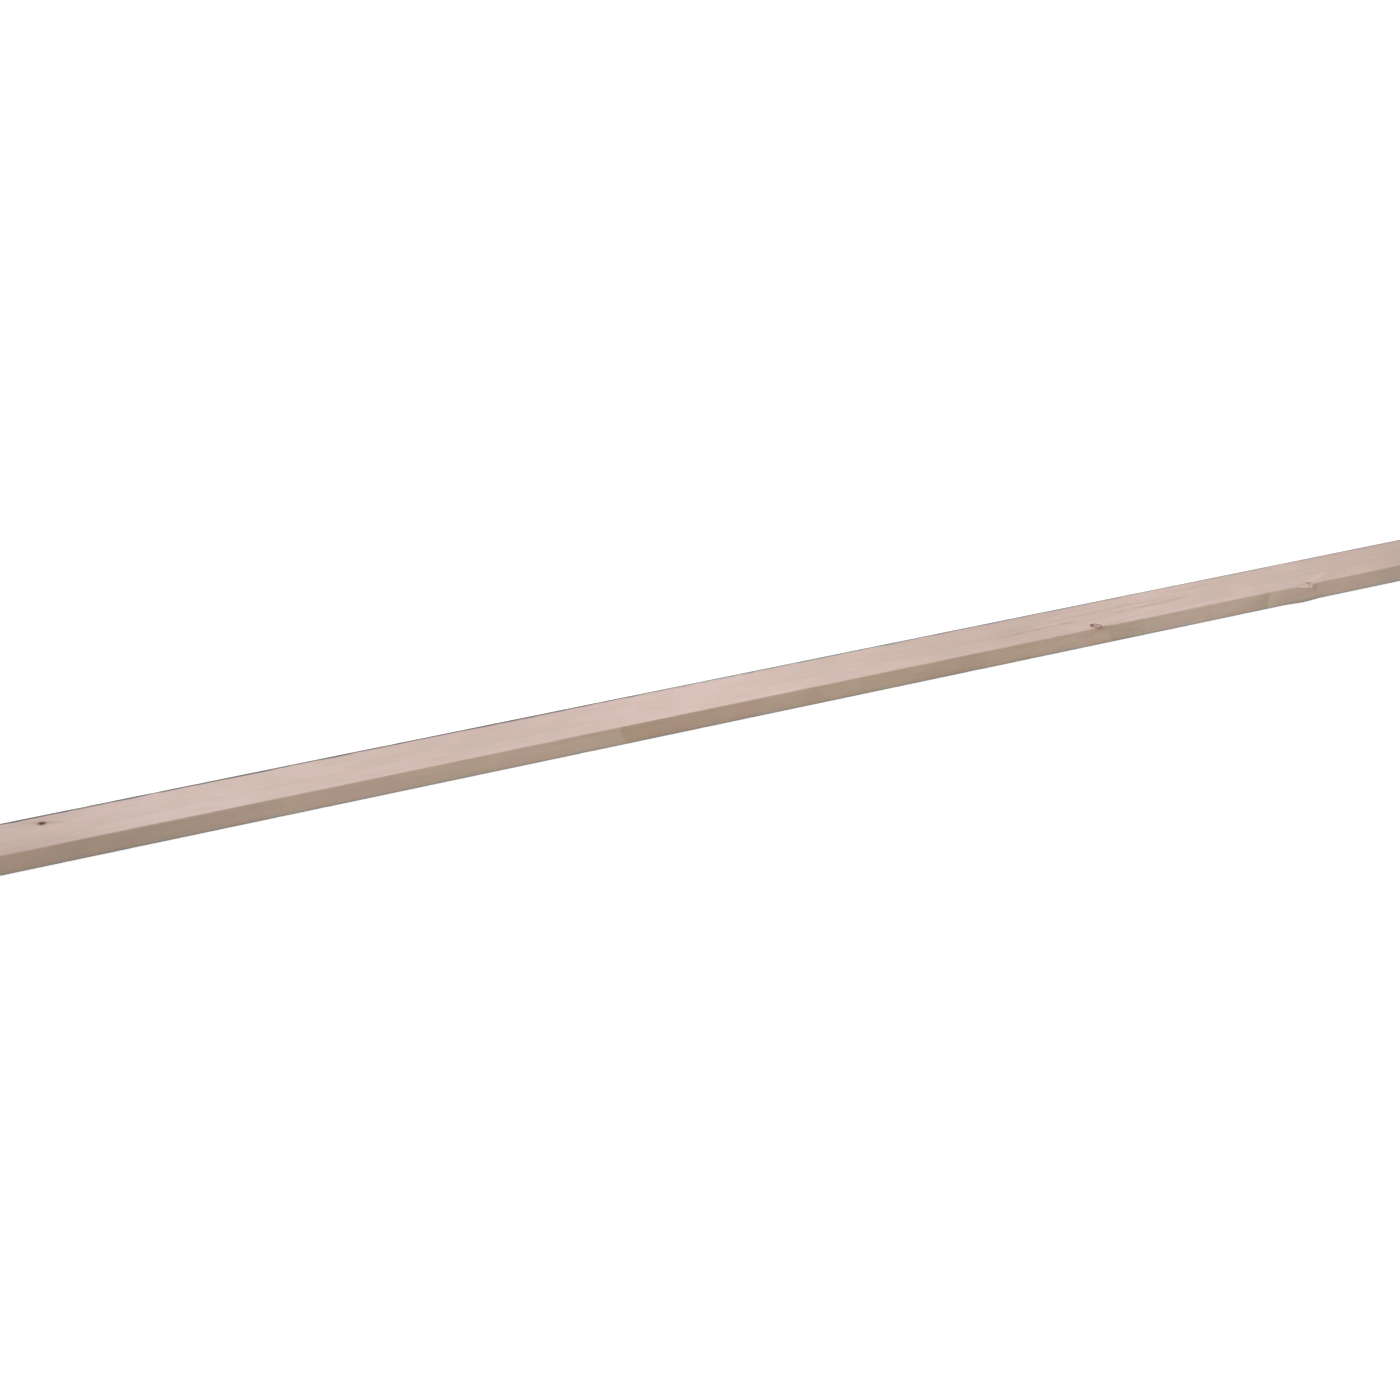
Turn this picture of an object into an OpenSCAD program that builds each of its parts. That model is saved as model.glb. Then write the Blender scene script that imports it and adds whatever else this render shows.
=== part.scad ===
// Planed softwood plank, sawn and planed from one length of timber and lying on a wide face.
// X runs along the length, Y across the width and Z up through the thickness.
// The origin is the middle of the underside, and the front edge faces -Y.

/* [Plank] */
// Length that the stock is sold in
plank_length = 3000; // [1800:100:5400]
// Width of the two wide faces
plank_width = 89; // [63:1:225]
// Thickness between the wide faces
plank_thickness = 38; // [22:1:75]
// Radius of the eased long arrises
arris_radius = 2; // [0.5:0.5:5]

/* [Edge knot] */
// Distance from the right-hand end to the knot in the front edge
knot_from_end = 404; // [150:1:900]
// Length of the swelling that the knot leaves in the front edge
swelling_length = 80; // [40:1:160]
// How far the swelling stands out of the front edge
swelling_rise = 3; // [1:0.5:6]
// Step from each wide face to the swelling's own arris
swelling_step = 0.5; // [0.1:0.1:2]

/* [Torn arris] */
// Length of the splinter torn out of the upper front arris
tear_length = 40; // [20:1:100]
// Depth of the tear down the front edge, at its end wall
tear_depth = 8.5; // [3:0.5:12]
// Reach that the tear would have across the upper face at its end wall, without its back wall
tear_reach = 13; // [8:0.5:24]
// Angle at which the axis of the hollow stands off the wood: the larger, the flatter the hollow
tear_axis_angle = 24; // [10:1:40]
// Distance from the knot's middle to the end wall, where the splinter broke off
tear_past_knot = 15; // [0:1:25]
// Distance from the front edge to the back wall, at the end wall
back_wall_set_in = 5.5; // [3:0.5:8]
// Angle at which the back wall runs away from the front edge
back_wall_slant = 16; // [5:1:30]

/* [Hidden] */
$fn = 96;

// Pale, slightly pink whitewood
whitewood = [0.82, 0.74, 0.69];

front_y = -plank_width / 2;
knot_x = plank_length / 2 - knot_from_end;

// The swelling is an arc in plan, with the front edge as its chord.
swelling_radius = (pow(swelling_length / 2, 2) + pow(swelling_rise, 2)) / (2 * swelling_rise);
swelling_centre_y = front_y - swelling_rise + swelling_radius;
// The arc runs on past its chord, so that its ends lie inside the plank.
swelling_run_on_share = 1.4;
swelling_sweep = 2 * swelling_run_on_share * asin(swelling_length / 2 / swelling_radius);
// The swelling's wood roots as deep as the middle of the plank.
swelling_root = plank_width / 2;

// The tear is a cone with its tip on the arris. At the end wall its surface passes through the
// tear's depth on the front edge and the tear's reach on the upper face.
tear_end_x = knot_x + tear_past_knot;
depth_ray = unit([tear_length, 0, -tear_depth]);
reach_ray = unit([tear_length, tear_reach, 0]);
middle_ray = unit(depth_ray + reach_ray);
outward_ray = unit(cross(depth_ray, reach_ray));
tear_axis = cos(tear_axis_angle) * middle_ray + sin(tear_axis_angle) * outward_ray;
tear_half_angle = acos(tear_axis * depth_ray);
// The cone runs on past the end wall, which closes the hollow, and the cut past the swelling.
tear_run_on_share = 1.3;
tear_run = tear_length * tear_run_on_share;
tear_overrun = 2 * swelling_rise;
back_wall_run = tear_length * tan(back_wall_slant);

function unit(vector) = vector / norm(vector);

// Rectangle with rounded corners, from a corner at the origin
module eased_rectangle(width, height, radius) {
  translate([radius, 0])
    square([width - 2 * radius, height]);
  translate([0, radius])
    square([width, height - 2 * radius]);
  for (x = [radius, width - radius], y = [radius, height - radius])
    translate([x, y])
      circle(r = radius);
}

// Straight planed stock between two square saw cuts
module straight_stock() {
  rotate([90, 0, 90])
    linear_extrude(height = plank_length, center = true)
      translate([front_y, 0])
        eased_rectangle(plank_width, plank_thickness, arris_radius);
}

// Front edge bulging round the knot, with its arrises eased like the rest
module knot_swelling() {
  translate([knot_x, swelling_centre_y, swelling_step])
    rotate([0, 0, -90 - swelling_sweep / 2])
      rotate_extrude(angle = swelling_sweep)
        translate([swelling_radius - swelling_root, 0])
          eased_rectangle(swelling_root, plank_thickness - 2 * swelling_step, arris_radius);
}

// Hollow that deepens along the arris, from a tip at the splinter's thin end
module tear_hollow() {
  translate([tear_end_x - tear_length, front_y, plank_thickness])
    rotate([0, acos(tear_axis.z), atan2(tear_axis.y, tear_axis.x)])
      cylinder(h = tear_run, r1 = 0, r2 = tear_run * tan(tear_half_angle));
}

// Plan of the splinter, open to the front and closed by the slanting back wall and the end wall
module tear_plan() {
  polygon([
    [-tear_length, -tear_overrun],
    [0, -tear_overrun],
    [0, back_wall_set_in],
    [-tear_length, back_wall_set_in + back_wall_run],
  ]);
}

// Splinter that tore out of the arris and broke off square at the knot
module torn_splinter() {
  intersection() {
    tear_hollow();
    translate([tear_end_x, front_y, 0])
      linear_extrude(height = 2 * plank_thickness)
        tear_plan();
  }
}

module plank() {
  color(whitewood)
    difference() {
      union() {
        straight_stock();
        knot_swelling();
      }
      torn_splinter();
    }
}

plank();
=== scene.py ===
import math

import bpy
import numpy as np
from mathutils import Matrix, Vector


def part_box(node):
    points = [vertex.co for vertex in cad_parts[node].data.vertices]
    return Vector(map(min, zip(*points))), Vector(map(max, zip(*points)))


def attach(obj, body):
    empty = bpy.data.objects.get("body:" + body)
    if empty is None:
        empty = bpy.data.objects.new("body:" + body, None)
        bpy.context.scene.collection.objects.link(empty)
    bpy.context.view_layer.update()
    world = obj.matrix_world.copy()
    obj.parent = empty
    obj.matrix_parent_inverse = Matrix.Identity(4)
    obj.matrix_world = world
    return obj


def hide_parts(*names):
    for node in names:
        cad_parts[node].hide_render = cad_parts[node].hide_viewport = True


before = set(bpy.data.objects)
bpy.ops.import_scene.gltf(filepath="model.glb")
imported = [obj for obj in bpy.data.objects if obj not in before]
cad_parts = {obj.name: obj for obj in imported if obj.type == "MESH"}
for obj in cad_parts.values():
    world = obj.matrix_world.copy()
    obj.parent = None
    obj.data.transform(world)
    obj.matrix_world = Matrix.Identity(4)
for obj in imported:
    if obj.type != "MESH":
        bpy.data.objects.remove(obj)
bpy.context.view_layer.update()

# Planed plank: one length of spruce, planed on all four sides between two square saw cuts.
# The heart of the log lay behind the back edge, so the wide faces show straight, fine grain.
# A branch left a swollen knot in the front edge, where the planer tore a splinter off the arris.

# Sizes and places on the plank are in millimetres, and MM turns them into the frame's metres.
MM = 0.001
low, high = np.array(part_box("plank")) / MM
half_length, half_width, thickness = high
arris_radius = 2
rim_break = 0.4

knot_x = half_length - 404
swelling_length = 80
swelling_rise = -half_width - low[1]
swelling_root = 20
swelling_taper = 1.5

tear_length = 40
tear_depth = 8.5
tear_reach = 13
tear_radius = 20
tear_end = knot_x + 15
tear_start = tear_end - tear_length
wall_set_in = 5.5
wall_slope = math.tan(math.radians(16))
wall_wander = 0.4
ridge_height = 0.45
ridge_length = 9
ridge_ease = 1.5
end_lean = 3
end_lean_run = 9
ragged_lip = 0.6
squeeze_foot = thickness - 20

eye_x = 638
eye_y = 7.5 - half_width
eye_half_size = (10.8, 7.4)
eye_turn = math.radians(-32)
eye_groove = 0.35
eye_groove_share = 0.95
eye_groove_width_share = 0.1

dent_depth = 0.7
dent_pitch = 14
dent_rarity_share = 0.7
dent_seed = 11

coarse_pitch = 7
face_pitch = 3
fine_pitch = 0.8
finest_pitch = 0.5
hair = 0.02
crease_angle = math.radians(40)


def spaced(start, end, pitch):
    """Points from start up to, but not including, end, about one pitch apart."""
    count = max(1, round(abs(end - start) / pitch))
    return np.linspace(start, end, count, endpoint=False)


def stations():
    """Places along the plank for its rings of points, closer together at the eye knot and the tear."""
    eye_margin = 2
    eye_reach = eye_half_size[0] + eye_margin
    lead_in = 6
    finest_run = 18
    stops = [
        (-half_length + rim_break, coarse_pitch),
        (eye_x - eye_reach, fine_pitch),
        (eye_x + eye_reach, coarse_pitch),
        (tear_start - lead_in, fine_pitch),
        (tear_end - finest_run, finest_pitch),
        (tear_end - hair, hair),
        (tear_end, fine_pitch),
        (tear_end + lead_in, 2 * fine_pitch),
        (knot_x + swelling_length / 2, coarse_pitch),
        (half_length - rim_break, rim_break),
    ]
    ends = [place for place, pitch in stops[1:]] + [half_length]
    runs = [spaced(place, end, pitch) for (place, pitch), end in zip(stops, ends)]
    return np.concatenate([[-half_length], *runs, [half_length]])


def outline():
    """Points round the section with their outward normals, from the arris under the back edge."""
    flat = half_width - arris_radius
    rise = thickness - arris_radius
    across = 2 * flat
    down = rise - arris_radius
    arris_step = math.radians(13)
    torn_width = 24
    torn_height = 16
    top_run = [
        spaced(0, across - torn_width, face_pitch),
        spaced(across - torn_width, across, fine_pitch),
    ]
    front_run = [spaced(0, torn_height, fine_pitch), spaced(torn_height, down, face_pitch)]
    sides = [
        (flat, arris_radius, spaced(0, down, coarse_pitch)),
        (flat, rise, np.concatenate(top_run)),
        (-flat, rise, np.concatenate(front_run)),
        (-flat, arris_radius, spaced(0, across, coarse_pitch)),
    ]
    points = []
    normals = []
    for number, (y, z, run) in enumerate(sides):
        facing = number * math.pi / 2
        turns = [(turn, 0.0) for turn in spaced(facing - math.pi / 2, facing, arris_step)]
        for turn, along in turns + [(facing, distance) for distance in run]:
            out_y = math.cos(turn)
            out_z = math.sin(turn)
            normals.append((out_y, out_z))
            points.append((
                y + arris_radius * out_y - along * out_z,
                z + arris_radius * out_z + along * out_y,
            ))
    return np.array(points), np.array(normals)


rng = np.random.default_rng(dent_seed)
rings = stations()
points, normals = outline()
count = len(points)
inset = np.where(np.abs(rings) == half_length, rim_break, 0.0)
body = np.empty((len(rings), count, 3))
body[..., 0] = rings[:, None]
body[..., 1:] = points[None] - inset[:, None, None] * normals[None]

# A point whose normal is this close to an axis lies on a flat face, and not on an arris.
flat_face_share = 0.99
upper = normals[:, 1] > flat_face_share
front = normals[:, 0] < -flat_face_share

# Knocks along the four arrises, each with its own run of shallow dents
for side_y in (-1, 1):
    for side_z in (-1, 1):
        marks = np.arange(-half_length, half_length + dent_pitch, dent_pitch)
        knocks = np.interp(rings, marks, rng.random(len(marks)))
        depth = dent_depth * np.clip((knocks - dent_rarity_share) / (1 - dent_rarity_share), 0, 1) ** 2
        there = (normals[:, 0] * side_y > 0) & (normals[:, 1] * side_z > 0)
        share = np.where(there, np.abs(2 * normals[:, 0] * normals[:, 1]), 0.0)
        body[..., 1:] -= (depth[:, None] * share[None])[..., None] * normals[None]

# A shallow groove round the eye knot, where its bark has shrunk
along = body[..., 0] - eye_x
sideways = body[..., 1] - eye_y
eye_share = np.hypot(
    (along * math.cos(eye_turn) + sideways * math.sin(eye_turn)) / eye_half_size[0],
    (sideways * math.cos(eye_turn) - along * math.sin(eye_turn)) / eye_half_size[1],
)
groove = eye_groove * np.exp(-((eye_share - eye_groove_share) / eye_groove_width_share) ** 2)
body[..., 2] -= groove * np.clip(normals[:, 1], 0, 1)[None]

# The swelling pushes the front edge out, and the wood behind it follows less and less.
from_knot = (body[..., 0] - knot_x) / (swelling_length / 2)
bulge = np.clip(1 - from_knot ** 2, 0, 1) ** swelling_taper
follow = np.clip((-body[..., 1] - swelling_root) / (half_width - swelling_root), 0, 1) ** 2
body[..., 1] -= swelling_rise * bulge * follow

# The back wall of the tear: points of the upper face that lie close to it are moved onto its lip.
wall_marks = np.arange(tear_start, tear_end + ridge_length, ridge_length / 4)
wander = np.interp(body[..., 0], wall_marks, rng.normal(size=len(wall_marks))) * wall_wander
wall_y = wall_set_in - half_width + (tear_end - body[..., 0]) * wall_slope + wander
beside = (body[..., 0] > tear_start) & (body[..., 0] < tear_end) & upper
on_lip = beside & (np.abs(body[..., 1] - wall_y) < fine_pitch / 2)
body[..., 1] = np.where(on_lip, wall_y, body[..., 1])

# The tear is a hollow cone with its tip on the arris, ridged along the fibres. What lies inside it
# is pressed out to its floor and stopped at the back wall, and the end wall leans over the floor.
chord = math.hypot(tear_reach, tear_depth)
lift = math.sqrt(tear_radius ** 2 - (chord / 2) ** 2)
middle_y = tear_reach / 2 - lift * tear_depth / chord
middle_z = lift * tear_reach / chord - tear_depth / 2
grown = np.clip((body[..., 0] - tear_start) / tear_length, 0, None)
middle = np.stack([grown * middle_y - half_width, grown * middle_z + thickness], -1)
arm = body[..., 1:] - middle
length = np.maximum(np.linalg.norm(arm, axis=-1), hair)
sunk = grown * tear_radius - length
ridge_marks = np.arange(tear_start, tear_end + ridge_length, ridge_length)
fibres = rng.normal(size=(len(ridge_marks), count))
fibres = (np.roll(fibres, 1, 1) + 2 * fibres + np.roll(fibres, -1, 1)) / math.sqrt(1 + 2 ** 2 + 1)
ridges = np.stack([np.interp(rings, ridge_marks, fibres[:, n]) for n in range(count)], 1)
ridged = np.clip(sunk / ridge_ease, 0, 1) * np.clip(normals[:, 1], 0, 1)
floor_radius = grown * tear_radius + ridge_height * ridges * ridged
within = (sunk > 0) & (body[..., 1] < wall_y) & ~on_lip & ~front
torn = within & (body[..., 0] < tear_end)
pressed = body.copy()
pressed[..., 1:] = middle + arm / length[..., None] * floor_radius[..., None]
pressed[..., 1] = np.minimum(pressed[..., 1], wall_y)
near_end = np.clip(1 - (tear_end - body[..., 0]) / end_lean_run, 0, 1)
pressed[..., 0] -= end_lean * near_end * np.clip(sunk / tear_depth, 0, 1)
body = np.where(torn[..., None], pressed, body)

# The front edge ends at the floor of the tear, so its upper points draw together below it.
fall = np.sqrt(np.maximum((grown * tear_radius) ** 2 - (body[..., 1] - middle[..., 0]) ** 2, 0))
room = thickness - arris_radius - squeeze_foot
squeeze = np.clip((middle[..., 1] - fall - squeeze_foot) / room, 0, 1)
squeezed = front & (body[..., 0] < tear_end) & (body[..., 2] > squeeze_foot)
squeezed_z = squeeze_foot + (body[..., 2] - squeeze_foot) * squeeze
body[..., 2] = np.where(squeezed, squeezed_z, body[..., 2])

lip = within & (body[..., 0] == tear_end)
body[..., 0] += np.where(lip, ragged_lip * rng.random(count)[None], 0.0)
body[..., 1] = np.maximum(body[..., 1], low[1])

numbers = np.arange(len(rings) * count).reshape(len(rings), count)
near = numbers[:-1]
far = numbers[1:]
sides = np.stack([near, np.roll(near, -1, 1), np.roll(far, -1, 1), far], -1).reshape(-1, 4)
caps = [numbers[0][::-1].tolist(), numbers[-1].tolist()]
mesh = bpy.data.meshes.new("planed_plank")
mesh.from_pydata((body * MM).reshape(-1, 3).tolist(), [], sides.tolist() + caps)
mesh.attributes.new("torn", "FLOAT", "POINT").data.foreach_set("value", torn.ravel().astype(float))

# Texture map, in shares of its width and height: each half of the plank's length is a strip, and the
# two saw cuts lie side by side above them, drawn wide.
strip_height = 0.44
strip_rise = 0.46
gutter = 0.01
span = 1 - 2 * gutter
steps = np.linalg.norm(np.diff(points, axis=0, append=points[:1]), axis=1)
around = np.concatenate([[0], np.cumsum(steps)]) / steps.sum() * strip_height + gutter
half = (rings[:-1] >= 0).astype(int)
first = (rings[:-1] + half_length * (1 - half)) / half_length
last = (rings[1:] + half_length * (1 - half)) / half_length
corners = np.empty((len(rings) - 1, count, 4, 2))
corners[:, :, 0, 0] = corners[:, :, 1, 0] = gutter + span * first[:, None]
corners[:, :, 2, 0] = corners[:, :, 3, 0] = gutter + span * last[:, None]
corners[:, :, 0, 1] = corners[:, :, 3, 1] = around[None, :-1] + half[:, None] * strip_rise
corners[:, :, 1, 1] = corners[:, :, 2, 1] = around[None, 1:] + half[:, None] * strip_rise
cap_size = (0.36, 0.065)
cap_foot = (0.2, 0.925)
cap_step = (0.4, 0)
cap_flat = points / (2 * half_width, thickness) * cap_size + cap_foot
layout = [corners.reshape(-1, 2), cap_flat[::-1], cap_flat + cap_step]
mesh.uv_layers.new(name="OFBake").data.foreach_set("uv", np.concatenate(layout).ravel())
mesh.shade_smooth()
mesh.set_sharp_from_angle(angle=crease_angle)
plank = bpy.data.objects.new("planed_plank", mesh)
bpy.context.collection.objects.link(plank)


class Shade:
    """One output in a node tree. Sums on it add Math nodes, and node() adds any other node."""

    def __init__(self, tree, socket):
        self.tree = tree
        self.socket = socket

    def node(self, kind, settings, sockets, output=0):
        added = self.tree.nodes.new(kind)
        for name, value in settings.items():
            setattr(added, name, value)
        for name, value in sockets.items():
            if isinstance(value, Shade):
                self.tree.links.new(value.socket, added.inputs[name])
            else:
                added.inputs[name].default_value = value
        return Shade(self.tree, added.outputs[output])

    def other(self, output):
        return Shade(self.tree, self.socket.node.outputs[output])

    def math(self, operation, *values):
        return self.node("ShaderNodeMath", {"operation": operation}, dict(enumerate((self, *values))))

    def __add__(self, value):
        return self.math("ADD", value)

    def __sub__(self, value):
        return self.math("SUBTRACT", value)

    def __rsub__(self, value):
        return (self * -1) + value

    def __mul__(self, value):
        return self.math("MULTIPLY", value)

    def __truediv__(self, value):
        return self.math("DIVIDE", value)

    def __pow__(self, value):
        return self.math("POWER", value)

    __radd__ = __add__
    __rmul__ = __mul__

    def ease(self, start, end):
        """Goes smoothly from 0 at start to 1 at end, which may be the smaller of the two."""
        settings = {"interpolation_type": "SMOOTHSTEP"}
        return self.node("ShaderNodeMapRange", settings, {0: self, 1: start, 2: end})

    def between(self, start, end, blur):
        """1 from start to end, with either limit softened over a blur."""
        soft = blur / 2
        return self.ease(start - soft, start + soft) * self.ease(end + soft, end - soft)

    def hump(self, middle, width):
        """Bell curve that is 1 at its middle and falls off over its width."""
        return (((self - middle) / width) ** 2 * -1).math("EXPONENT")

    def over(self, under, colour, blend="MIX"):
        """Lays a colour over another where this mask is 1."""
        settings = {"data_type": "RGBA", "blend_type": blend}
        return self.node("ShaderNodeMix", settings, {0: self, 6: under, 7: colour}, 2)

    def stains_and_paints_light(self, under, stain):
        """Multiplies a colour by a stain where this mask is 1, and lays painted shade and painted
        highlights the same way. A stain above 1 makes the wood paler.
        """
        return self.over(under, (*stain, 1), "MULTIPLY")


def tint(red, green, blue):
    """Linear colour of an sRGB colour given in 255 steps."""
    return (*[((c / 255 + 0.055) / 1.055) ** 2.4 for c in (red, green, blue)], 1.0)


wood = bpy.data.materials.new("planed_whitewood")
wood.use_nodes = True
tree = wood.node_tree
surface = tree.nodes["Principled BSDF"]
here = Shade(tree, tree.nodes.new("ShaderNodeTexCoord").outputs["Object"])
place = here.node("ShaderNodeVectorMath", {"operation": "SCALE"}, {0: here, "Scale": 1 / MM})
x = place.node("ShaderNodeSeparateXYZ", {}, {0: place})
y = x.other(1)
z = x.other(2)
under_top = thickness - z
in_from_front = y + half_width

# A face starts to count as an end or an edge where the first share of its normal points that way,
# and counts in full from the second share on.
end_on_shares = (0.6, 0.8)
side_on_shares = (0.6, 0.85)
cut_skin = 2
facing = here.node("ShaderNodeSeparateXYZ", {}, {0: here.other("Normal")})
saw_cut = x.math("ABSOLUTE").ease(half_length - cut_skin, half_length - cut_skin / 2)
end_grain = facing.math("ABSOLUTE").ease(*end_on_shares) * saw_cut
edge_face = facing.other(1).math("ABSOLUTE").ease(*side_on_shares)
front_face = (facing.other(1) * -1).ease(*side_on_shares)
wide_face = 1 - edge_face
fresh = here.node("ShaderNodeAttribute", {"attribute_name": "torn"}, {}, "Fac")


def oval(middle, across, half_size, turn):
    """Distance from the middle of an oval as a share of its rim, turned in its plane by an angle."""
    along = x - middle[0]
    sideways = across - middle[1]
    lengthways = along * math.cos(turn) + sideways * math.sin(turn)
    crossways = sideways * math.cos(turn) - along * math.sin(turn)
    return ((lengthways / half_size[0]) ** 2 + (crossways / half_size[1]) ** 2) ** 0.5


# Grain: year rings round a heart behind the back edge. They dip to the front at the two edge knots.
heart_middle = (95, 6)
heart_wander = (3, 2)
heart_wave = (610, 370)
heart_phase = 1.0
dip_depth = 14
eye_dip_length = 110
eye_dip_rise = (52.5, 2.5)
branch_dip_length = 60
branch_dip_rise = (39.5, -1.5)
sway_length = 260
sway_width = 50
sway_reach = 6
heart_y = (x / heart_wave[0] + heart_phase).math("SINE") * heart_wander[0] + heart_middle[0]
heart_z = (x / heart_wave[1]).math("SINE") * heart_wander[1] + heart_middle[1]
from_heart = ((y - heart_y) ** 2 + (z - heart_z) ** 2) ** 0.5
eye_dip = x.hump(eye_x, eye_dip_length) * in_from_front.ease(*eye_dip_rise) * dip_depth
branch_dip = x.hump(knot_x, branch_dip_length) * in_from_front.ease(*branch_dip_rise) * dip_depth
waves = x.node("ShaderNodeCombineXYZ", {}, {0: x / sway_length, 1: y / sway_width, 2: z / sway_width})
sway = x.node("ShaderNodeTexNoise", {}, {"Vector": waves, "Scale": 1.0, "Detail": 2.0})
flow = from_heart - eye_dip - branch_dip + sway * sway_reach

# Each ring darkens slowly into its late wood and ends sharply, and some years grew less of it.
ring_width = 2.3
pace_scale = 0.11
pace_change = 2.6
late_onset = (0.4, 0.94)
late_stop = (1.0, 0.95)
poor_year_share = 0.5
one_dimension = {"noise_dimensions": "1D"}
pace = x.node("ShaderNodeTexNoise", one_dimension, {"W": flow, "Scale": pace_scale, "Detail": 1.0})
year = flow / ring_width + pace * pace_change
season = year.math("FRACT")
vigour = x.node("ShaderNodeTexWhiteNoise", one_dimension, {"W": year.math("FLOOR")})
growth = poor_year_share + (1 - poor_year_share) * vigour
late = season.ease(*late_onset) ** 2 * season.ease(*late_stop) * growth

early_wood = tint(212, 190, 182)
late_wood = tint(183, 155, 142)
late_on_faces = 0.62
late_lost_on_edges = 0.48
late_gained_on_ends = 0.3
late_shown = late_on_faces - late_lost_on_edges * edge_face + late_gained_on_ends * end_grain
timber = (late * late_shown).over(early_wood, late_wood)


def drawn_out(along, across, detail):
    """Noise drawn out along the grain, with its streaks about so many millimetres in size."""
    stretched = x.node("ShaderNodeCombineXYZ", {}, {0: x / along, 1: flow / across, 2: z / across})
    return x.node("ShaderNodeTexNoise", {}, {"Vector": stretched, "Scale": 1.0, "Detail": detail})


fibre = drawn_out(along=45, across=0.5, detail=3)
flame = drawn_out(along=150, across=4, detail=2)
mottle = drawn_out(along=70, across=26, detail=2)
blush = drawn_out(along=46, across=17, detail=1)
dash = drawn_out(along=34, across=2, detail=2)
edge_patch = drawn_out(along=55, across=60, detail=1)

# Soft streaks: each sets in at one level of its noise and is full at another. It has a strength and
# a stain, and the flames are strongest where the grain is strained round the eye knot.
strain_length = 240
strain_at_eye = 0.6
strain_elsewhere = 0.25
strain = x.hump(eye_x, strain_length) * strain_at_eye + strain_elsewhere
soft_streaks = [
    (mottle, 0.38, 0.62, 1.0, (0.95, 0.96, 0.94)),
    (blush, 0.40, 0.65, 0.8, (1.0, 0.975, 0.985)),
    (flame, 0.52, 0.70, strain, (0.90, 0.86, 0.84)),
    (edge_patch, 0.40, 0.60, edge_face, (0.985, 0.955, 0.99)),
]
for noise, start, full, strength, stain in soft_streaks:
    timber = (noise.ease(start, full) * strength).stains_and_paints_light(timber, stain)
fibre_contrast = 0.5
fibre_stain = (0.94, 0.93, 0.92)
timber = ((fibre - 0.5) * fibre_contrast + 0.5).stains_and_paints_light(timber, fibre_stain)

# Dark dashes where the grain is drawn towards the eye knot from either side, in a row and a fainter
# one, each with its middle and its width
dash_stain = (0.80, 0.75, 0.74)
dash_onset = (0.45, 0.57)
dash_slope = 0.025
dash_sway = 5
dash_row = (-7.5, 3.2)
faint_row = (6, 2.5)
faint_row_share = 0.4
dash_y = y - (x - eye_x) * dash_slope + (sway - 0.5) * dash_sway
dash_rows = dash_y.hump(*dash_row) + dash_y.hump(*faint_row) * faint_row_share
left_run = (450, 605)
right_run = (685, 850)
run_blur = 40
dash_runs = x.between(*left_run, run_blur) + x.between(*right_run, run_blur)
timber = (dash.ease(*dash_onset) * dash_rows * dash_runs * wide_face).stains_and_paints_light(timber, dash_stain)

# Broad changes of tone: a patch has its middle, its width and its stain. A ramp sets in at one place,
# is full at another and goes on to the end of the plank. The first edge ramp, the right end and the
# left front corner are painted shade, where the light falls off towards the ends.
wide_patches = [
    (-985, 230, (1.08, 1.11, 1.125)),
    (-520, 260, (0.965, 0.97, 0.975)),
    (-170, 240, (1.03, 1.03, 1.045)),
    (95, 60, (0.95, 0.96, 0.96)),
    (455, 250, (0.90, 0.895, 0.875)),
    (760, 110, (1.035, 1.035, 1.045)),
]
wide_ramps = [(1060, 1250, (1.0, 0.975, 0.95))]
edge_patches = [
    (-1270, 75, (1.07, 1.065, 1.03)),
    (-90, 120, (1.05, 1.07, 1.12)),
    (400, 220, (0.925, 0.90, 0.86)),
    (790, 160, (1.05, 1.055, 1.06)),
]
edge_ramps = [
    # Painted shade: the edges darken towards the left end
    (-720, -1350, (0.84, 0.84, 0.86)),
    (250, 620, (1.03, 1.04, 1.07)),
]
tones = [(wide_face, wide_patches, wide_ramps), (edge_face, edge_patches, edge_ramps)]
for face, patches, ramps in tones:
    for middle, width, stain in patches:
        timber = (face * x.hump(middle, width)).stains_and_paints_light(timber, stain)
    for start, full, stain in ramps:
        timber = (face * x.ease(start, full)).stains_and_paints_light(timber, stain)
edge_stain = (0.965, 0.945, 0.80)
# Painted shade: the plank darkens towards its right end, and the wide faces at the left end near the
# front
right_end_shade_run = (1210, 1330)
right_end_painted_shade = (0.93, 0.95, 0.945)
corner_shade_run = (-1130, -1310)
corner_shade_width = 50
corner_painted_shade = (0.86, 0.85, 0.82)
timber = edge_face.stains_and_paints_light(timber, edge_stain)
# Painted shade towards the right end and at the left front corner
timber = x.ease(*right_end_shade_run).stains_and_paints_light(timber, right_end_painted_shade)
corner_shade = x.ease(*corner_shade_run) * in_from_front.ease(corner_shade_width, 0) * wide_face
timber = corner_shade.stains_and_paints_light(timber, corner_painted_shade)

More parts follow.
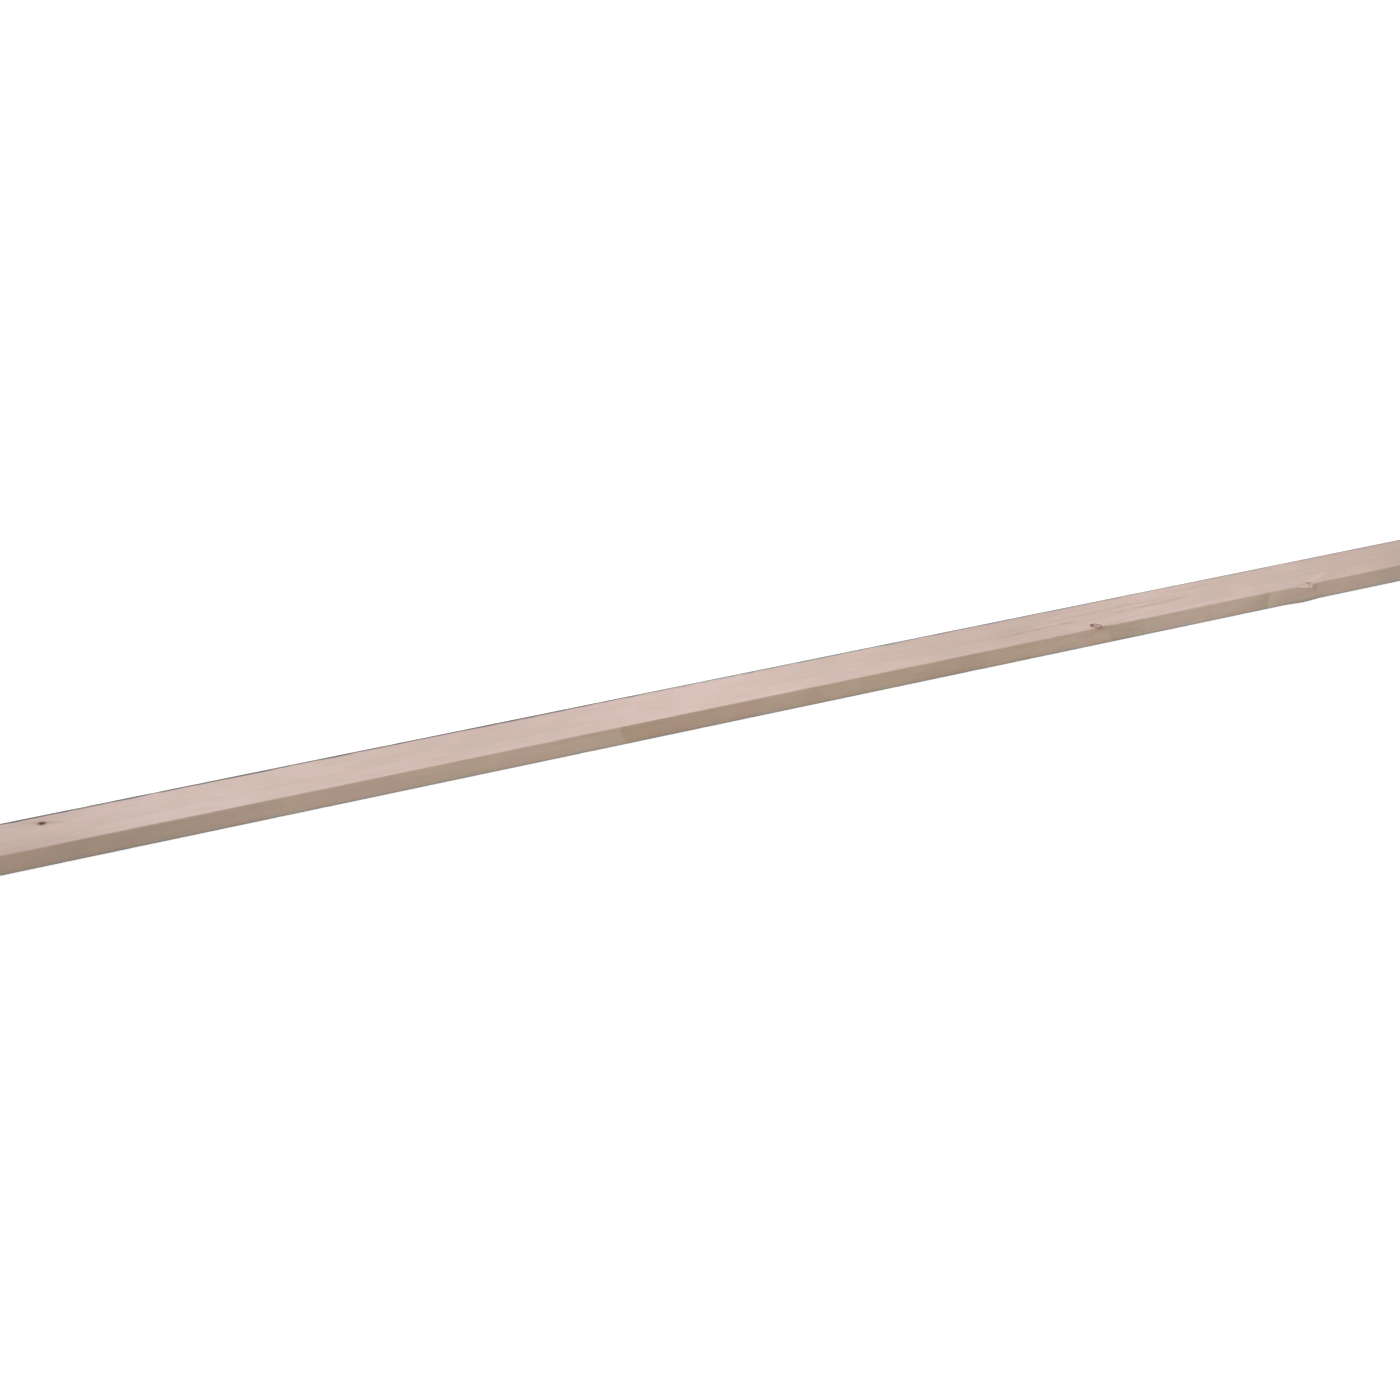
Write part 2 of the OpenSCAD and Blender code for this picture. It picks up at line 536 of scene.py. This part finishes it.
# On the edges the tone darkens sharply at a step and comes back slowly past it. A step has its place,
# the bow of its line, the length over which it fades and its stain.
edge_tone_steps = [
    (-297, 12, 620, (0.88, 0.835, 0.775)),
    (662, 9, 150, (0.91, 0.925, 0.91)),
]
step_blur = 1.5
fade_start_share = 0.1
for start, bow, fade, stain in edge_tone_steps:
    past = x - start - (under_top / thickness) ** 2 * bow
    step = edge_face * past.ease(-step_blur, step_blur) * past.ease(fade, fade_start_share * fade)
    timber = step.stains_and_paints_light(timber, stain)

# Left of the edge knot, one ring darkens up to a step and the next starts pale: where each band on the
# front edge sets in, is full, falls off and ends, and its stain
bands = [
    (972, 1008, 1012, 1015, (0.91, 0.92, 0.88)),
    (1014, 1017, 1026, 1048, (1.07, 1.08, 1.08)),
]
for start, full, fall_off, end, stain in bands:
    timber = (front_face * x.ease(start, full) * x.ease(end, fall_off)).stains_and_paints_light(timber, stain)

# Eye knot at the front arris: a dark rim of bark, thickest at its left, round brownish heartwood.
# Its limits are shares of the way from its middle to its rim, which is a little rough.
rough_scale = 0.3
rough_rim_share = 0.3
ragged = x.node("ShaderNodeTexNoise", {}, {"Vector": place, "Scale": rough_scale, "Detail": 3.0})
rough_rim = (ragged - 0.5) * rough_rim_share
eye_slope = 0.5
eye_left_run = (-1, -9)
eye_across = y - under_top * eye_slope
eye = oval((eye_x, eye_y), eye_across, eye_half_size, eye_turn) + rough_rim
eye_along = (x - eye_x) * math.cos(eye_turn) + (eye_across - eye_y) * math.sin(eye_turn)
eye_left = eye_along.ease(*eye_left_run)

# The edge below it is a little redder, and the arris at its foot is darkened with painted shade.
eye_flush_run = (eye_x + 4, 16)
eye_flush_stain = (1.05, 1.02, 1.02)
eye_foot_run = (eye_x + 9, 18)
eye_foot_width = (5, 1)
eye_foot_height = (10, 3)
eye_foot_painted_shade = (0.74, 0.66, 0.65)
eye_foot_shade = in_from_front.ease(*eye_foot_width) * under_top.ease(*eye_foot_height)
timber = (front_face * x.hump(*eye_flush_run)).stains_and_paints_light(timber, eye_flush_stain)
timber = (x.hump(*eye_foot_run) * eye_foot_shade).stains_and_paints_light(timber, eye_foot_painted_shade)

eye_heartwood = tint(178, 148, 138)
eye_heartwood_shares = (1.0, 0.9)
eye_ring_turns = 19
eye_ring_onset = (0.2, 1.0)
eye_ring_shares = (0.8, 0.7)
eye_ring_stain = (0.936, 0.904, 0.888)
eye_ring = (eye * eye_ring_turns).math("SINE").ease(*eye_ring_onset) * eye.ease(*eye_ring_shares)
timber = eye.ease(*eye_heartwood_shares).over(timber, eye_heartwood)
timber = eye_ring.stains_and_paints_light(timber, eye_ring_stain)

bark_brown = tint(112, 72, 62)
bark_shares = (0.84, 1.06)
bark_blur_share = 0.14
left_bark_shares = (1.12, 0.95)
bark_cover = 0.74
left_bark_gain = 0.18
left_bark = eye_left * eye.ease(*left_bark_shares)
eye_bark = eye.between(*bark_shares, bark_blur_share).math("MAXIMUM", left_bark)
timber = (eye_bark * (bark_cover + left_bark_gain * eye_left)).over(timber, bark_brown)

eye_check_line = (2, 0.5)
eye_check_wander = 3
eye_check_shares = (0.85, 0.6)
eye_check_stain = (0.7525, 0.721, 0.703)
eye_check = (eye_along + ragged * eye_check_wander).hump(*eye_check_line) * eye.ease(*eye_check_shares)
timber = eye_check.stains_and_paints_light(timber, eye_check_stain)

pale_ring_shares = (1.17, 1.5)
pale_ring_blur_share = 0.3
pale_ring_stain = (1.09, 1.08, 1.07)
pale_ring = eye.between(*pale_ring_shares, pale_ring_blur_share) * (1 - eye_left) * (1 - front_face)
timber = pale_ring.stains_and_paints_light(timber, pale_ring_stain)

# Pin knot: a round, black-brown spot in a soft halo, with a faint tail on either side of it
pin_middle = (-1246, 20.3)
pin_half_size = (9.2, 6.0)
pin_turn = math.radians(-20)
pin_slope = 0.1
pin_brown = tint(88, 58, 44)
pin_shares = (1.05, 0.3)
halo_shares = (1.9, 0.8)
halo_stain = (0.904, 0.872, 0.84)
tail_middle = (-1239, 20)
tail_half_size = (46, 5.5)
tail_turn = math.radians(-18)
tail_shares = (1.0, 0.2)
tail_stain = (0.856, 0.829, 0.802)
pin_y = y - under_top * pin_slope
pin = oval(pin_middle, pin_y, pin_half_size, pin_turn) + rough_rim
pin_tail = oval(tail_middle, pin_y, tail_half_size, tail_turn)
timber = pin_tail.ease(*tail_shares).stains_and_paints_light(timber, tail_stain)
timber = pin.ease(*halo_shares).stains_and_paints_light(timber, halo_stain)
timber = pin.ease(*pin_shares).over(timber, pin_brown)

# Edge knot: pale, swirled wood above the tear's lip and past it, and a painted highlight along the lip,
# in ovals with a middle, a half size, a turn and a stain
swirls_and_lip_highlight = [
    ((tear_end + 23, -26), (42, 8.5), math.radians(20), (1.08, 1.085, 1.10)),
    # Painted highlight along the tear's lip
    ((tear_end + 4, -35), (13, 5.5), math.radians(-14), (1.08, 1.085, 1.09)),
]
swirl_and_highlight_shares = (1.0, 0.4)
for middle, half_size, turn, stain in swirls_and_lip_highlight:
    swirl_and_highlight = oval(middle, y, half_size, turn).ease(*swirl_and_highlight_shares)
    timber = (swirl_and_highlight * wide_face).stains_and_paints_light(timber, stain)

# A brown streak, partly painted shade below the tear's end wall, and a flush run down the edge from the
# tear: middle, width, where they end and start to fade below the top, and stain
streak_shade_and_flush = [
    (tear_end + 6, 5, 26, 12, (0.86, 0.855, 0.85)),
    (tear_end - 9, 12, 26, 14, (1.0, 0.97, 0.98)),
]
for middle, width, foot, fade, stain in streak_shade_and_flush:
    timber = (x.hump(middle, width) * under_top.ease(foot, fade) * front_face).stains_and_paints_light(timber, stain)

# The torn wood is fresh and palest at its thin end; painted light lightens it where it faces the left
# end.
fresh_stain = (1.05, 1.01, 0.98)
thin_end_run = (tear_end - 2, tear_end - 13)
thin_end_stain = (1.05, 1.10, 1.08)
left_facing_turn = (-0.2, -0.7)
left_facing_painted_light = (1.2, 1.22, 1.2)
timber = fresh.stains_and_paints_light(timber, fresh_stain)
timber = (fresh * x.ease(*thin_end_run)).stains_and_paints_light(timber, thin_end_stain)
timber = (fresh * facing.ease(*left_facing_turn)).stains_and_paints_light(timber, left_facing_painted_light)

# A grey line streaked along the upper back arris, thick on the left and thinner and bluer on the right
back_line_mottle = 3
back_line_streaks = 7
back_line_reach = (half_width - 7, half_width - 4)
back_line_drop = (5, 1)
back_line_ground = 0.6
back_line_dashes = 0.8
thick_line_run = (-80, -330)
thick_line_tone = (0.26, 0.30, 0.34)
thin_line_cover = 0.75
thin_line_loss = 0.3
thin_line_loss_run = (450, 900)
thin_line_tone = (0.27, 0.48, 0.60)
back_line_y = y + (mottle - 0.5) * back_line_mottle + (dash - 0.5) * back_line_streaks
back_line = back_line_y.ease(*back_line_reach) * under_top.ease(*back_line_drop) * (back_line_ground + back_line_dashes * dash)
thick_line = x.ease(*thick_line_run)
thin_line = (1 - thick_line) * (thin_line_cover - thin_line_loss * x.ease(*thin_line_loss_run))
timber = (back_line * thick_line).stains_and_paints_light(timber, thick_line_tone)
timber = (back_line * thin_line).stains_and_paints_light(timber, thin_line_tone)

# Painted shade: a thin grey line along the lower front arris, and darker wood above that, most on the
# swelling
foot_line_width = (3.5, 1)
foot_line_height = (4.5, 1.5)
foot_painted_shade = (0.70, 0.82, 0.90)
low_shade_height = (10, 3)
low_painted_shade = (0.93, 0.985, 1.01)
bulge_run = (knot_x + 8, 30)
bulge_height = (11, 2)
bulge_painted_shade = (0.80, 0.83, 0.81)
foot_shade_line = in_from_front.ease(*foot_line_width) * z.ease(*foot_line_height)
timber = foot_shade_line.stains_and_paints_light(timber, foot_painted_shade)
timber = (front_face * z.ease(*low_shade_height)).stains_and_paints_light(timber, low_painted_shade)
timber = (front_face * z.ease(*bulge_height) * x.hump(*bulge_run)).stains_and_paints_light(timber, bulge_painted_shade)

# Saw-cut end grain soaks up the light and shows the arcs of the blade and a few fine checks.
end_stain = (0.86, 0.79, 0.70)
ray_scale = 34
ray_onset = (0.66, 0.7)
ray_patches = (0.4, 0.6)
check_stain = (0.65, 0.594, 0.552)
saw_middle = (-60, -130)
saw_pitch = 2.6
bearing = (z - heart_z).math("ARCTAN2", heart_y - y)
rays = x.node("ShaderNodeTexNoise", one_dimension, {"W": bearing, "Scale": ray_scale, "Detail": 2.0})
check = rays.ease(*ray_onset) * sway.ease(*ray_patches) * end_grain
timber = end_grain.stains_and_paints_light(timber, end_stain)
timber = check.stains_and_paints_light(timber, check_stain)
from_saw = ((y - saw_middle[0]) ** 2 + (z - saw_middle[1]) ** 2) ** 0.5
blade = (from_saw * (2 * math.pi / saw_pitch)).math("SINE") * end_grain

# Relief too fine for the mesh, with its heights in millimetres
planer_pitch = 2.4
planer_wave = 0.002
late_ridge = 0.02
fibre_ridge = 0.04
torn_fibre_ridge = 0.35
blade_ridge = 0.03
check_depth = 0.2
bark_depth = 0.1
planer = (x * (2 * math.pi / planer_pitch)).math("SINE") * (1 - end_grain) * (1 - fresh)
ridge = late * late_ridge + fibre * (fibre_ridge + torn_fibre_ridge * fresh)
tooling = planer * planer_wave + blade * blade_ridge
hollow = (check + eye_check) * check_depth + eye_bark * bark_depth
relief = ridge + tooling - hollow
bump = x.node("ShaderNodeBump", {}, {"Strength": 1.0, "Distance": MM, "Height": relief})

wood_roughness = 0.7
late_polish = 0.1
cut_roughness = 0.14
roughness = wood_roughness - late * late_polish + end_grain * cut_roughness
tree.links.new(timber.socket, surface.inputs["Base Color"])
tree.links.new(roughness.socket, surface.inputs["Roughness"])
tree.links.new(bump.socket, surface.inputs["Normal"])
surface.inputs["Specular IOR Level"].default_value = 0.3
mesh.materials.append(wood)

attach(plank, "root")
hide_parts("plank")

# Floor: a wide sheet of pale paper that the plank lies on.
# It shows white to the camera and keeps the plank's soft shadow.

floor_edge = 20.0
floor_drop = 0.2 * MM
paper_grey = 0.62
paper_glow = 0.63
paper = bpy.data.materials.new("pale_paper")
paper.use_nodes = True
sheet = paper.node_tree.nodes["Principled BSDF"]
sheet.inputs["Base Color"].default_value = (paper_grey, paper_grey, paper_grey, 1)
sheet.inputs["Roughness"].default_value = 0.9
sheet.inputs["Specular IOR Level"].default_value = 0.0
sheet.inputs["Emission Color"].default_value = (1, 1, 1, 1)


def seen(tree):
    """1 for rays that show a surface to the camera, straight, mirrored or through glass."""
    sight = Shade(tree, tree.nodes.new("ShaderNodeLightPath").outputs["Is Camera Ray"])
    mirrored = sight.math("MAXIMUM", sight.other("Is Glossy Ray"))
    return mirrored.math("MAXIMUM", sight.other("Is Transmission Ray"))


white_floor = seen(paper.node_tree) * paper_glow
paper.node_tree.links.new(white_floor.socket, sheet.inputs["Emission Strength"])
floor_plan = np.array([(-1, -1), (1, -1), (1, 1), (-1, 1)]) * floor_edge
floor_mesh = bpy.data.meshes.new("floor")
floor_mesh.from_pydata([(a, b, -floor_drop) for a, b in floor_plan], [], [range(4)])
floor_mesh.materials.append(paper)
floor = bpy.data.objects.new("floor", floor_mesh)
bpy.context.collection.objects.link(floor)

# Light: an even pale sky, with a broad lamp hung over the middle of the plank
# and a weak one standing before its right-hand end.

sky_light = 0.62
sky = bpy.data.worlds.new("pale_sky")
sky.use_nodes = True
glow = sky.node_tree.nodes["Background"]
glow.inputs["Color"].default_value = (1, 1, 1, 1)
white_sky = seen(sky.node_tree) * (1 - sky_light) + sky_light
sky.node_tree.links.new(white_sky.socket, glow.inputs["Strength"])
bpy.context.scene.world = sky


def lamp(name, place, aim, size, watts):
    """A square area lamp at a place, turned towards its aim."""
    light = bpy.data.lights.new(name, "AREA")
    light.size = size
    light.energy = watts
    holder = bpy.data.objects.new(name, light)
    holder.location = place
    pointing = np.subtract(aim, place)
    holder.rotation_euler = (
        math.atan2(math.hypot(pointing[0], pointing[1]), -pointing[2]),
        0,
        math.atan2(pointing[1], pointing[0]) - math.pi / 2,
    )
    bpy.context.collection.objects.link(holder)


lamp("over_lamp", place=(0.0, -0.1, 2.6), aim=(0, 0, 0), size=1.8, watts=34)
lamp("front_lamp", place=(1.9, -2.4, 0.9), aim=(0.8, 0, 0), size=1.0, watts=2)

# Camera: a level view through a normal lens, looking down on the plank from its left front.
# The frame cuts off both ends of the plank.

frame_width = 1400
focal_pixels = 1953
azimuth = math.radians(-20.89)
elevation = math.radians(32.67)
distance = 3.444
target = (-0.129, 0.0146, 0.019)
back = np.array([
    math.sin(azimuth) * math.cos(elevation),
    -math.cos(azimuth) * math.cos(elevation),
    math.sin(elevation),
])
lens = bpy.data.cameras.new("camera")
lens.sensor_width = 36
lens.lens = lens.sensor_width * focal_pixels / frame_width
lens.clip_end = 100
camera = bpy.data.objects.new("camera", lens)
camera.location = target + back * distance
camera.rotation_euler = (math.pi / 2 - elevation, 0, azimuth)
bpy.context.collection.objects.link(camera)
bpy.context.scene.camera = camera
bpy.context.scene.view_settings.view_transform = "Standard"
